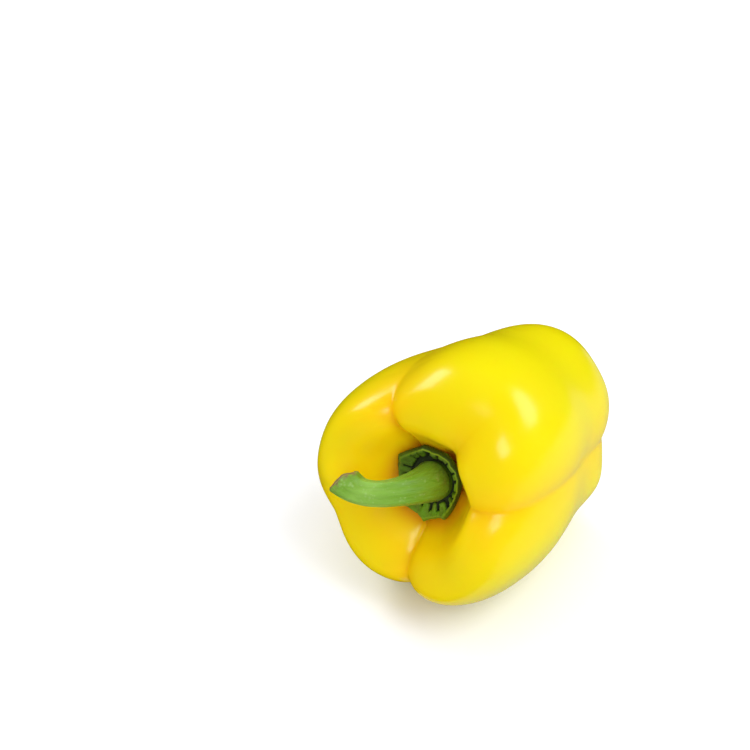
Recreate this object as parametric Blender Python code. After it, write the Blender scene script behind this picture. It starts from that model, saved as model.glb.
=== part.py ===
"""Bell pepper: one glossy yellow fruit lying on its side, with its green calyx and cut stem.

The pepper is shaped in its own upright frame, in millimetres: Z runs from the blossom end up to
the stem end, and angles turn anticlockwise as seen from the stem end. Each piece starts as a
sphere whose points are carried to their place by a formula. An empty then lays the whole pepper
down, so that its stem end faces -Y and looks a little upward, and sets its belly on z = 0.

Run it with: blender --background --python part.py
"""
from dataclasses import dataclass

import bmesh
import bpy
import numpy as np
from mathutils import Matrix

MM = 0.001
GAP = 0.3  # clear distance between neighbouring pieces

# How the pepper lies
TILT = 18.0  # degrees that the stem end looks up from the level
REST_DEPTH = 1.1  # height of the belly that the small resting flat takes away

# The fruit's two ends
PIT_HEIGHT = 29.0  # floor of the hollow that the calyx sits in
PIT_RADIUS = 12.5
FOOT_HEIGHT = -41.0  # middle of the blossom end
FOOT_RADIUS = 6.0
LOBE_FOCUS = 8.0  # how quickly one lobe's sizes give way to the next one's
FOLD_ROUNDING = 1.5  # degrees over which the bottom of a crease is rounded

# Places along the half outline, from 0 in the pit to 1 at the foot
TWIST_START = 0.3  # where the creases begin to turn
TWIST_LENGTH = 0.6
CRISP_PLACES = (0.3, 0.5)  # between these the crispness of a crease changes
TURN_OUT = (0.2, 0.5)  # between these the creases turn from pressing down to pressing inward
TURN_UNDER = (0.78, 0.98)  # and here from pressing inward to pressing up
FADE = 1 / 12  # at each pole the creases fade out over this share
PIT_REACH = 0.34  # as far as the calyx may lie
PIT_STEPS = 60

# The calyx, which lies round the stem's root and reaches further on its lower left
CALYX_MIDDLE = (1.2, 2.2)
LEAN_ANGLE = 50.0  # the side where its rim stands highest
CALYX_THICKNESS = 1.1  # beside the seat, before the trough is sunk
CALYX_TROUGH = 0.7  # thickness left at the bottom of the trough round the stem
CALYX_EDGE = 0.6
EDGE_ROUNDING = 5.0  # how quickly the edge thickens inward
SIDE_POWER = 0.8  # below 1 it makes the hollow sides of the outline broad
FLESH = (1.0, 1.2)  # thickness gained outward where the calyx lies flat, and more where it rises
RIM_HEIGHT = (0.4, 1.8)
RIM_PLACE = 0.8  # places on the calyx run from 0 at the seat to 1 at the edge
RIM_WIDTH = 0.12
SKIRT_DROP = (1.2, 1.3)
SKIRT_START = 0.84
TIP_PLACE = (0.22, 0.3)  # where the fingers begin
TIP_WAVE = 0.1
TIP_SLOPE = 0.2
SEAT_RADIUS = 6.3
SEAT_HEIGHT = PIT_HEIGHT + 3.0  # top of the calyx's middle, which carries the stem
SEAT_ROWS = 0.15  # share of the sphere's rows in the middle
SEAT_SLOPE = 0.08  # share of the calyx over which the seat passes into the upper face
FINGERS = 17  # fleshy ends that reach in over the trough

# The stem
STEM_RIBS = 7
STEM_RIB_HEIGHT = 0.25
FOLD_BACK = 0.42  # how far the upper part of the cut end is drawn back, as a share of the radius
FOLD_ANGLE = 63.0  # the side of the stem that is drawn back
FOLD_START = 0.6  # how far along the stem that begins
LIP_START = 0.95
LIP_ROUNDING = 0.14  # share of the radius that the rim of the cut loses
STEM_CAP = 0.12  # share of the sphere's rows in each flat end

# Faces round each piece's sphere and from pole to pole
FRUIT_FACES = (80, 44)
CALYX_FACES = (96, 32)
STEM_FACES = (28, 34)


@dataclass(frozen=True)
class Lobe:
    """One swelling round the fruit: its angle in degrees and its sizes in millimetres."""

    angle: float
    crown: float  # radius of the highest ring of the shoulder
    shoulder: float  # height of that ring
    reach: float  # greatest radius
    foot: float  # radius where the side turns in under the blossom end
    depth: float  # height of that turn


@dataclass(frozen=True)
class Groove:
    """One crease or valley between lobes, from the pit over the shoulder to the foot."""

    angle: float
    twist: float  # degrees that it has turned when it reaches the foot
    depths: tuple  # depth at six places from the pit to the foot
    wide: float  # half width of its soft flanks in degrees
    narrow: float  # half width of its fold in degrees
    crisp: tuple = (0.5, 0.2)  # share of the fold in its depth, at the pit and down the side


@dataclass(frozen=True)
class Bump:
    """A local swelling of the skin, or a dent where its height is negative."""

    angle: float
    place: float  # how far along the half outline, from 0 to 1
    height: float
    width: float  # half width in degrees
    length: float  # half length as a share of the half outline


@dataclass(frozen=True)
class Corner:
    """One corner of the calyx outline, as seen from the calyx's middle."""

    angle: float
    radius: float
    hollow: float  # how far the side from it to the next corner is drawn in


@dataclass(frozen=True)
class StemStation:
    """One place along the stem's middle, above the calyx, and the stem's radius there."""

    middle: tuple
    radius: float


LOBES = (
    Lobe(35, 22.5, 44, 43, 32, -52),
    Lobe(92, 24, 39.5, 44.5, 34.5, -54),
    Lobe(140, 29, 43.5, 42, 31.5, -47.5),
    Lobe(180, 29, 42.5, 44, 27, -46),
    Lobe(238, 29, 39.5, 43, 25, -45),
    Lobe(298, 28, 44, 44.5, 25.5, -46),
    Lobe(338, 24.5, 48, 40.5, 29.5, -43),
)
GROOVES = (
    Groove(124, -8, (2.0, 9.5, 7.5, 3.0, 2.4, 4.5), 22, 5, (0.75, 0.05)),
    Groove(7.5, 6, (2.5, 8.0, 6.5, 4.8, 4.2, 6.0), 22, 6, (0.6, 0.3)),
    Groove(-88, 2, (3.0, 8.0, 6.5, 4.4, 3.2, 4.5), 18, 5, (0.6, 0.5)),
    Groove(61, 0, (6.0, 7.0, 0.8, 0.0, 0.0, 0.0), 13, 8, (0.5, 0.0)),
    Groove(212, 0, (0.0, 1.0, 3.4, 2.2, 0.5, 0.0), 18, 16),
    Groove(-54, 0, (0.5, 1.0, 0.5, 0.0, 0.0, 1.0), 16, 14),
)
BUMPS = (
    Bump(-16, 0.8, 3.2, 19, 0.08),
    Bump(184, 0.27, 5.5, 15, 0.075),
)
CALYX_CORNERS = (
    Corner(-168, 13.2, 1.0),
    Corner(-128, 15.8, 1.4),
    Corner(-92, 15.2, 1.2),
    Corner(-60, 13.4, 0.8),
    Corner(-15, 9.9, 0.6),
    Corner(39, 11.4, 0.5),
    Corner(72, 12.2, 1.3),
    Corner(115, 12.7, 1.1),
    Corner(159, 14.5, 0.3),
)
STEM_STATIONS = (
    StemStation((1.25, 2.7, 0.0), 6.9),
    StemStation((1.1, 3.0, 4.6), 6.2),
    StemStation((-0.3, 2.8, 10.5), 5.1),
    StemStation((-4.3, 1.7, 16.2), 4.3),
    StemStation((-9.5, 0.1, 18.6), 4.0),
    StemStation((-14.5, -0.5, 19.6), 4.2),
    StemStation((-18.6, 0.6, 20.4), 4.9),
    StemStation((-21.9, 2.8, 21.3), 5.7),
)


def turn_between(angle, centre):
    """Degrees from centre to angle, between -180 and 180."""
    return (angle - centre + 180.0) % 360.0 - 180.0


def hill(value, centre, width):
    """A smooth bump of height 1 round centre."""
    return np.exp(-(((value - centre) / width) ** 2))


def smooth(value, low, high):
    """A smooth step from 0 at low to 1 at high."""
    share = np.clip((value - low) / (high - low), 0, 1)
    return share * share * (3 - 2 * share)


def spline(points, along):
    """Uniform cubic B-spline through control rows, and its slope; along runs from 0 to 1."""
    points = np.asarray(points, float)
    spans = len(points) - 3
    place = np.clip(along, 0.0, 1.0) * spans
    first = np.minimum(place.astype(int), spans - 1)
    f = place - first
    weights = ((1 - f) ** 3, 3 * f**3 - 6 * f**2 + 4, -3 * f**3 + 3 * f**2 + 3 * f + 1, f**3)
    slopes = (-3 * (1 - f) ** 2, 9 * f**2 - 12 * f, -9 * f**2 + 6 * f + 3, 3 * f**2)
    if points.ndim == 1:
        rows = [points[first + k] for k in range(4)]
    else:
        rows = [points[first + k, np.arange(len(f))] for k in range(4)]
    value = sum(w * row for w, row in zip(weights, rows)) / 6
    slope = sum(w * row for w, row in zip(slopes, rows)) / 6
    return value, slope


def lobe_sizes(angle):
    """Crown, shoulder, reach, foot and depth at each angle, blended from the lobes near it."""
    pull = np.array([np.exp(LOBE_FOCUS * (np.cos(np.radians(angle - lobe.angle)) - 1)) for lobe in LOBES])
    sizes = np.array([(lobe.crown, lobe.shoulder, lobe.reach, lobe.foot, lobe.depth) for lobe in LOBES])
    return sizes.T @ (pull / pull.sum(axis=0))


def outline(angle):
    """Control points of the fruit's half outline at each angle, from the pit to the foot."""
    crown, shoulder, reach, foot, depth = lobe_sizes(angle)
    one = np.ones_like(angle)
    floor = 0.55 * PIT_RADIUS
    wall = crown - PIT_RADIUS
    climb = shoulder - PIT_HEIGHT
    points = (
        (-floor * one, PIT_HEIGHT * one),
        (0 * one, PIT_HEIGHT * one),
        (floor * one, PIT_HEIGHT * one),
        (PIT_RADIUS * one, PIT_HEIGHT * one),
        (PIT_RADIUS + 0.36 * wall, PIT_HEIGHT + 0.45 * climb),
        (PIT_RADIUS + 0.62 * wall, shoulder - 0.5),
        (crown + 2.0, shoulder + 2.0),
        (0.45 * crown + 0.55 * reach + 1.0, shoulder - 1.5),
        (reach - 1.0, shoulder - 13.0),
        (reach + 0.8, 14 * one),
        (reach - 0.2, -3 * one),
        (0.35 * foot + 0.65 * reach, -19 * one),
        (foot + 6.5, 0.6 * depth - 6),
        (foot + 1.5, depth + 1.0),
        (foot - 9.0, depth - 1.0),
        (FOOT_RADIUS * one, (FOOT_HEIGHT - 1.0) * one),
        (0 * one, FOOT_HEIGHT * one),
        (-FOOT_RADIUS * one, (FOOT_HEIGHT - 1.0) * one),
    )
    return np.array([p[0] for p in points]), np.array([p[1] for p in points])


def groove_depth(angle, along):
    """How deep the creases and valleys press in."""
    depth = np.zeros_like(angle)
    for groove in GROOVES:
        centre = groove.angle + groove.twist * np.clip((along - TWIST_START) / TWIST_LENGTH, 0, 1)
        off = turn_between(angle, centre)
        fold = np.exp((FOLD_ROUNDING - np.hypot(off, FOLD_ROUNDING)) / groove.narrow)
        strength, _ = spline((0, 0, *groove.depths, 0, 0), along)
        crisp = np.interp(along, CRISP_PLACES, groove.crisp)
        depth += strength * ((1 - crisp) * hill(off, 0, groove.wide) + crisp * fold)
    return depth


def swelling(angle, along):
    """How far the bumps stand out."""
    height = np.zeros_like(angle)
    for bump in BUMPS:
        around = hill(turn_between(angle, bump.angle), 0, bump.width)
        height += bump.height * around * hill(along, bump.place, bump.length)
    return height


def fruit_surface(angle, along):
    """Radius and height of the fruit's skin; along runs from 0 in the pit to 1 at the foot.

    The creases press down at the crown, inward down the side and up at the foot.
    """
    radii, heights = outline(angle)
    radius, _ = spline(radii, along)
    height, _ = spline(heights, along)
    fade = smooth(np.minimum(along, 1 - along), 0, FADE)
    press = (groove_depth(angle, along) - swelling(angle, along)) * fade
    way = np.pi / 2 * (smooth(along, *TURN_OUT) + smooth(along, *TURN_UNDER))
    return radius - press * np.sin(way), height - press * np.cos(way)


def pit_floor(radius, angle):
    """Height of the pit's skin under each place, as it would be without the creases."""
    steps = np.linspace(0, PIT_REACH, PIT_STEPS)
    radii, heights = outline(angle)
    reached = np.array([spline(radii, np.full_like(angle, step))[0] for step in steps])
    climbed = np.array([spline(heights, np.full_like(angle, step))[0] for step in steps])
    return np.array([np.interp(r, reached[:, k], climbed[:, k]) for k, r in enumerate(radius)])


def calyx_edge(angle):
    """Outer radius of the calyx: corners with hollow sides between them."""
    turns = [corner.angle for corner in CALYX_CORNERS]
    turns = np.array([turns[-1] - 360, *turns, turns[0] + 360])
    reach = [corner.radius for corner in CALYX_CORNERS]
    reach = np.array([reach[-1], *reach, reach[0]])
    after = np.clip(np.searchsorted(turns, angle, side="right"), 1, len(turns) - 1)
    share = (angle - turns[after - 1]) / (turns[after] - turns[after - 1])
    hollow = np.array([CALYX_CORNERS[k - 2].hollow for k in after])
    return np.interp(angle, turns, reach) - hollow * np.sin(np.pi * share) ** SIDE_POWER


def calyx_thickness(ring, angle):
    """Thickness round the seat: trough, fingers, rim and skirt, as ring runs from 0 to 1."""
    rise = 0.5 + 0.5 * np.cos(np.radians(angle - LEAN_ANGLE))
    thick = CALYX_THICKNESS + (FLESH[0] + FLESH[1] * rise) * smooth(ring, 0, 0.7)
    thick += (RIM_HEIGHT[0] + RIM_HEIGHT[1] * rise**2) * hill(ring, RIM_PLACE, RIM_WIDTH)
    thick -= (SKIRT_DROP[0] + SKIRT_DROP[1] * rise) * smooth(ring, SKIRT_START, 1)
    thick = np.minimum(thick, CALYX_EDGE + EDGE_ROUNDING * np.sqrt(np.clip(1 - ring, 0, None)))
    tips = TIP_PLACE[0] + TIP_PLACE[1] * rise + TIP_WAVE * np.cos(np.radians(FINGERS * angle))
    return thick - (thick - CALYX_TROUGH) * (1 - smooth(ring, tips, tips + TIP_SLOPE))


def sphere_places(bm):
    """Angle in degrees round each sphere point, and its place from 0 at the top to 1 at the bottom."""
    points = np.array([v.co for v in bm.verts])
    angle = np.degrees(np.arctan2(points[:, 1], points[:, 0]))
    along = np.degrees(np.arccos(np.clip(points[:, 2], -1, 1))) / 180
    return angle, along


def shaped_sphere(name, faces, shape, material):
    """An object made from a sphere, whose points the function shape carries to their place."""
    segments, rings = faces
    bm = bmesh.new()
    bmesh.ops.create_uvsphere(bm, u_segments=segments, v_segments=rings, radius=1.0)
    places = shape(*sphere_places(bm)) * MM
    for vert, place in zip(bm.verts, places):
        vert.co = place
    bmesh.ops.triangulate(bm, faces=bm.faces)
    bmesh.ops.recalc_face_normals(bm, faces=bm.faces)
    mesh = bpy.data.meshes.new(name)
    bm.to_mesh(mesh)
    bm.free()
    mesh.shade_smooth()
    mesh.materials.append(material)
    return bpy.data.objects.new(name, mesh)


def round_the_axis(radius, height, angle):
    """Points from a radius, a height and an angle in degrees."""
    turn = np.radians(angle)
    return np.column_stack((radius * np.cos(turn), radius * np.sin(turn), height))


def shape_fruit(angle, along):
    """The fruit's skin."""
    radius, height = fruit_surface(angle, along)
    pole = (along < 1e-6) | (along > 1 - 1e-6)
    return round_the_axis(np.where(pole, 0, radius), height, angle)


def shape_calyx(angle, along):
    """The calyx: the sphere's top half is its upper face, and its lower half follows the pit."""
    share = 1 - np.abs(2 * along - 1)
    ring = np.clip((share - SEAT_ROWS) / (1 - SEAT_ROWS), 0, 1)
    radius = SEAT_RADIUS * np.clip(share / SEAT_ROWS, 0, 1) + (calyx_edge(angle) - SEAT_RADIUS) * ring
    places = round_the_axis(radius, 0 * radius, angle) + (*CALYX_MIDDLE, 0)
    from_axis = np.hypot(places[:, 0], places[:, 1])
    bottom = GAP + pit_floor(from_axis, np.degrees(np.arctan2(places[:, 1], places[:, 0])))
    outer = bottom + calyx_thickness(ring, angle)
    top = SEAT_HEIGHT + (outer - SEAT_HEIGHT) * np.clip(ring / SEAT_SLOPE, 0, 1)
    places[:, 2] = np.where(along <= 0.5, top, bottom)
    return places


def stem_frame(run):
    """Middle, heading, crosswise directions and radius of the stem; run goes from 0 at its root to 1."""
    stations = [STEM_STATIONS[0], *STEM_STATIONS, STEM_STATIONS[-1]]
    lines = [spline([station.middle[k] for station in stations], run) for k in range(3)]
    middle = np.column_stack([value for value, _ in lines])
    heading = np.column_stack([slope for _, slope in lines])
    heading /= np.linalg.norm(heading, axis=1, keepdims=True)
    side = np.cross(heading, (0, 1, 0))
    side /= np.linalg.norm(side, axis=1, keepdims=True)
    radius, _ = spline([station.radius for station in stations], run)
    return middle, heading, side, np.cross(side, heading), radius


def shape_stem(angle, along):
    """The stem: a ribbed tube along its path, closed by a flat base and by a bent cut."""
    run = np.clip((along - STEM_CAP) / (1 - 2 * STEM_CAP), 0, 1)
    middle, heading, side, over, radius = stem_frame(run)
    turn = np.radians(angle)
    ribs = STEM_RIB_HEIGHT * np.cos(STEM_RIBS * turn) * np.clip(4 * run, 0, 1)
    lip = 1 - LIP_ROUNDING * smooth(run, LIP_START, 1) ** 2
    radius = (radius + ribs) * lip * np.clip(np.minimum(along, 1 - along) / STEM_CAP, 0, 1)
    across = (radius * np.cos(turn))[:, None] * side + (radius * np.sin(turn))[:, None] * over
    upper = smooth(np.cos(turn - np.radians(FOLD_ANGLE)), 0.1, 1.0)
    slant = FOLD_BACK * smooth(run, FOLD_START, 1) * radius * upper
    points = middle + across - slant[:, None] * heading
    points[:, 2] = np.maximum(points[:, 2], 0) * (run > 0) + SEAT_HEIGHT + GAP
    return points


def principled(name, colour, roughness, coat):
    """A plain Principled BSDF material."""
    material = bpy.data.materials.new(name)
    material.use_nodes = True
    shader = material.node_tree.nodes["Principled BSDF"]
    shader.inputs["Base Color"].default_value = (*colour, 1.0)
    shader.inputs["Roughness"].default_value = roughness
    shader.inputs["Metallic"].default_value = 0.0
    shader.inputs["Coat Weight"].default_value = coat
    return material


def lay_down(objects):
    """Hang the pieces on an empty that lays them on their side, over the middle of the floor."""
    frame = bpy.data.objects.new("bell_pepper_frame", None)
    turn = Matrix.Rotation(np.radians(90 - TILT), 4, "X")
    points = [turn @ v.co for obj in objects for v in obj.data.vertices]
    low = np.min(points, axis=0)
    high = np.max(points, axis=0)
    frame.rotation_euler = turn.to_euler()
    frame.location = (-(low[0] + high[0]) / 2, -(low[1] + high[1]) / 2, -low[2] - REST_DEPTH * MM)
    for obj in objects:
        obj.parent = frame
    return frame


def flatten_belly(fruit):
    """Raise what lies below the floor onto it, which leaves a small flat to rest on."""
    to_world = fruit.matrix_world
    to_fruit = to_world.inverted()
    for vert in fruit.data.vertices:
        place = to_world @ vert.co
        if place.z < 0:
            place.z = 0
            vert.co = to_fruit @ place


def main():
    """Build the pepper from its three pieces."""
    for obj in list(bpy.data.objects):
        bpy.data.objects.remove(obj, do_unlink=True)
    skin = principled("yellow_skin", (0.92, 0.72, 0.02), 0.2, 0.3)
    calyx_green = principled("calyx_green", (0.09, 0.2, 0.03), 0.5, 0.0)
    stem_green = principled("stem_green", (0.2, 0.36, 0.06), 0.45, 0.0)
    pieces = [
        shaped_sphere("fruit", FRUIT_FACES, shape_fruit, skin),
        shaped_sphere("calyx", CALYX_FACES, shape_calyx, calyx_green),
        shaped_sphere("stem", STEM_FACES, shape_stem, stem_green),
    ]
    collection = bpy.data.collections.new("bell_pepper")
    bpy.context.scene.collection.children.link(collection)
    for obj in [lay_down(pieces), *pieces]:
        collection.objects.link(obj)
    bpy.context.view_layer.update()
    flatten_belly(pieces[0])


if __name__ == "__main__":
    main()
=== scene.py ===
"""Bell pepper, dressed: a glossy yellow fruit lying on its side, with its calyx and its cut stem.

Each piece is shaped in the pepper's own upright frame, in millimetres: Z runs from the blossom
end up to the stem end, and angles turn anticlockwise as seen from the stem end. It starts as a
sphere whose points a formula carries to their place, a geometry tree adds its relief, and the
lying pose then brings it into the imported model's frame, in metres.
"""
from __future__ import annotations

import logging
import math
from dataclasses import dataclass, field
from enum import Enum
from typing import Any

import bpy
import numpy as np
from mathutils import Matrix, Vector


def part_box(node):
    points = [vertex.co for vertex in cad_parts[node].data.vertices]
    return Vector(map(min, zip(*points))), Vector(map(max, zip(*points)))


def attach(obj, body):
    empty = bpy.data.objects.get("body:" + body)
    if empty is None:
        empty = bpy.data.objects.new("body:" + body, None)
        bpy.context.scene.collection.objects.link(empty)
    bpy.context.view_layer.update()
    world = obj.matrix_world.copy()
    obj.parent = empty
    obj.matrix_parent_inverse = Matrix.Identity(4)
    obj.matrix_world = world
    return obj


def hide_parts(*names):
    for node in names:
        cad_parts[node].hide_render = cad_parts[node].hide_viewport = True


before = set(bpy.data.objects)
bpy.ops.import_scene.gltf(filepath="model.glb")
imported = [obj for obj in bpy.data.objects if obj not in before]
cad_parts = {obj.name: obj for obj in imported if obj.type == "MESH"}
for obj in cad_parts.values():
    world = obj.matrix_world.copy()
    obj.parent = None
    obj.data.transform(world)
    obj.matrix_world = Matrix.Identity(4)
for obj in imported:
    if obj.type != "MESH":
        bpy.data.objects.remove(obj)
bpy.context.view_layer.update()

MM = 0.001
Colour = tuple[float, float, float]
Box = tuple[float, float, float, float]
Range = tuple[float, float]
log = logging.getLogger("bell_pepper")


@dataclass(frozen=True)
class Lobe:
    """One swelling round the fruit.

    Args:
        angle: Where it lies, in degrees.
        crown: Radius of the highest ring of its shoulder.
        shoulder: Height of that ring.
        reach: Its greatest radius.
        foot: Radius where its side turns in under the blossom end.
        depth: Height of that turn.
    """

    angle: float
    crown: float
    shoulder: float
    reach: float
    foot: float
    depth: float


@dataclass(frozen=True)
class Groove:
    """One crease or valley between lobes, from the pit over the shoulder to the foot.

    Args:
        angle: Where it lies on the shoulder, in degrees.
        twist: Degrees that it has turned when it reaches the foot.
        depths: Its depth at six places from the pit to the foot.
        wide: Half width of its soft flanks, in degrees.
        narrow: Half width of its fold, in degrees.
        crisp: Share of the fold in its depth, at the pit and down the side.
    """

    angle: float
    twist: float
    depths: tuple[float, ...]
    wide: float
    narrow: float
    crisp: tuple[float, float] = (0.5, 0.2)


@dataclass(frozen=True)
class Bump:
    """A local swelling at an angle and a place along the half outline, both with half widths."""

    angle: float
    place: float
    height: float
    width: float
    length: float


@dataclass(frozen=True)
class Corner:
    """One corner of the calyx outline, as seen from the calyx's middle.

    Args:
        angle: Where it lies, in degrees.
        radius: How far out it lies.
        hollow: How far the side from it to the next corner is drawn in.
    """

    angle: float
    radius: float
    hollow: float


@dataclass(frozen=True)
class StemStation:
    """One place along the stem's middle, above the calyx, and the stem's radius there."""

    middle: tuple[float, float, float]
    radius: float


def turn_between(angle: np.ndarray, centre: np.ndarray | float) -> np.ndarray:
    """Degrees from centre to angle, between -180 and 180."""
    return (angle - centre + 180.0) % 360.0 - 180.0


def hill(value: np.ndarray, centre: float, width: float) -> np.ndarray:
    """A smooth bump of height 1 round centre."""
    return np.exp(-(((value - centre) / width) ** 2))


def smooth(value: np.ndarray, low: float, high: float) -> np.ndarray:
    """A smooth step from 0 at low to 1 at high."""
    share = np.clip((value - low) / (high - low), 0, 1)
    return share * share * (3 - 2 * share)


def spline(points: Any, along: np.ndarray) -> tuple[np.ndarray, np.ndarray]:
    """Uniform cubic B-spline through control rows, and its slope.

    Args:
        points: One control value a row, or one a row for each place in along.
        along: Where to read it, from 0 at the first row to 1 at the last.

    Returns:
        The value and the slope at each place.
    """
    points = np.asarray(points, float)
    spans = len(points) - 3
    place = np.clip(along, 0.0, 1.0) * spans
    first = np.minimum(place.astype(int), spans - 1)
    f = place - first
    weights = ((1 - f) ** 3, 3 * f**3 - 6 * f**2 + 4, -3 * f**3 + 3 * f**2 + 3 * f + 1, f**3)
    slopes = (-3 * (1 - f) ** 2, 9 * f**2 - 12 * f, -9 * f**2 + 6 * f + 3, 3 * f**2)
    if points.ndim == 1:
        rows = [points[first + k] for k in range(4)]
    else:
        rows = [points[first + k, np.arange(len(f))] for k in range(4)]
    value = sum(w * row for w, row in zip(weights, rows)) / 6
    slope = sum(w * row for w, row in zip(slopes, rows)) / 6
    return value, slope


def round_the_axis(radius: np.ndarray, height: np.ndarray, angle: np.ndarray) -> np.ndarray:
    """Points from a radius, a height and an angle in degrees."""
    turn = np.radians(angle)
    return np.column_stack((radius * np.cos(turn), radius * np.sin(turn), height))


class Graph:
    """Short calls that place and link nodes in one shader or geometry tree."""

    columns = 12
    column_width = 190
    row_height = 220

    def __init__(self, tree: bpy.types.NodeTree) -> None:
        """Take the tree that the calls work in."""
        self.tree = tree

    def add(self, kind: str, inputs: dict[Any, Any] | None = None, **settings: Any) -> bpy.types.Node:
        """Place one node.

        Args:
            kind: The node's type name.
            inputs: Socket name or number to a socket to link or a value to set.
            **settings: The node's own options.

        Returns:
            The node.
        """
        node = self.tree.nodes.new(kind)
        row, column = divmod(len(self.tree.nodes), self.columns)
        node.location = (self.column_width * column, -self.row_height * row)
        for name, value in settings.items():
            setattr(node, name, value)
        for key, value in (inputs or {}).items():
            if isinstance(value, bpy.types.NodeSocket):
                self.tree.links.new(value, node.inputs[key])
            else:
                node.inputs[key].default_value = value
        return node

    def math(self, operation: str, *values: Any) -> bpy.types.NodeSocket:
        """The result of a Math node on up to three values or sockets."""
        return self.add("ShaderNodeMath", dict(enumerate(values)), operation=operation).outputs[0]

    def vector_math(self, operation: str, inputs: dict[Any, Any]) -> bpy.types.NodeSocket:
        """The vector result of a Vector Math node."""
        return self.add("ShaderNodeVectorMath", inputs, operation=operation).outputs["Vector"]

    def noise(self, vector: Any, scale: Any, detail: float = 2.0, seed: Any = 0.0) -> bpy.types.NodeSocket:
        """Noise between about 0 and 1, centred on 0.5."""
        inputs = {"Vector": vector, "Scale": scale, "Detail": detail, "W": seed}
        return self.add("ShaderNodeTexNoise", inputs, noise_dimensions="4D").outputs[0]

    def span(self, value: Any, low: Any, high: Any, to_low: Any = 0.0, to_high: Any = 1.0) -> Any:
        """A smooth clamped change from to_low at low to to_high at high."""
        inputs = {"Value": value, "From Min": low, "From Max": high, "To Min": to_low, "To Max": to_high}
        return self.add("ShaderNodeMapRange", inputs, interpolation_type="SMOOTHSTEP").outputs[0]

    def blend(self, factor: Any, first: Any, second: Any) -> bpy.types.NodeSocket:
        """Lay one colour over another.

        Args:
            factor: How much of the second shows.
            first: A colour or a socket.
            second: A colour or a socket.

        Returns:
            The mixed colour.
        """
        pair = [(*c, 1.0) if isinstance(c, tuple) else c for c in (first, second)]
        inputs = {0: factor, 6: pair[0], 7: pair[1]}
        return self.add("ShaderNodeMix", inputs, data_type="RGBA").outputs[2]


class SocketKind(Enum):
    """The kinds of named input and output that the trees here use."""

    GEOMETRY = "NodeSocketGeometry"
    FLOAT = "NodeSocketFloat"
    VECTOR = "NodeSocketVector"
    COLOUR = "NodeSocketColor"
    MATERIAL = "NodeSocketMaterial"


def new_tree(name: str, kind: str, inputs: dict[str, SocketKind], outputs: dict[str, SocketKind]) -> tuple:
    """A node tree with its named sockets.

    Args:
        name: The tree's name.
        kind: GeometryNodeTree or ShaderNodeTree.
        inputs: Input names to their kinds.
        outputs: Output names to their kinds.

    Returns:
        The tree, its graph, its Group Input's outputs and its Group Output node.
    """
    tree = bpy.data.node_groups.new(name, kind)
    for label, socket in inputs.items():
        tree.interface.new_socket(name=label, in_out="INPUT", socket_type=socket.value)
    for label, socket in outputs.items():
        tree.interface.new_socket(name=label, in_out="OUTPUT", socket_type=socket.value)
    graph = Graph(tree)
    return tree, graph, graph.add("NodeGroupInput").outputs, graph.add("NodeGroupOutput")


def plain_sphere(segments: int, rings: int) -> bpy.types.Mesh:
    """A sphere of radius 1, as a plain mesh.

    Args:
        segments: Faces round it.
        rings: Faces from pole to pole.

    Returns:
        The mesh.
    """
    made = new_tree("sphere", "GeometryNodeTree", {}, {"Geometry": SocketKind.GEOMETRY})
    tree, graph, _, result = made
    ball = graph.add("GeometryNodeMeshUVSphere", {"Segments": segments, "Rings": rings, "Radius": 1.0})
    tree.links.new(ball.outputs["Mesh"], result.inputs[0])
    obj = bpy.data.objects.new("sphere", bpy.data.meshes.new("sphere"))
    bpy.context.scene.collection.objects.link(obj)
    obj.modifiers.new("sphere", "NODES").node_group = tree
    plain = evaluated_mesh(obj)
    bpy.data.objects.remove(obj)
    return plain


def evaluated_mesh(obj: bpy.types.Object) -> bpy.types.Mesh:
    """Apply an object's modifiers.

    Args:
        obj: The object, which stays as it is.

    Returns:
        A plain mesh with its evaluated shape.
    """
    bpy.context.view_layer.update()
    depsgraph = bpy.context.evaluated_depsgraph_get()
    return bpy.data.meshes.new_from_object(obj.evaluated_get(depsgraph), depsgraph=depsgraph)


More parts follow.
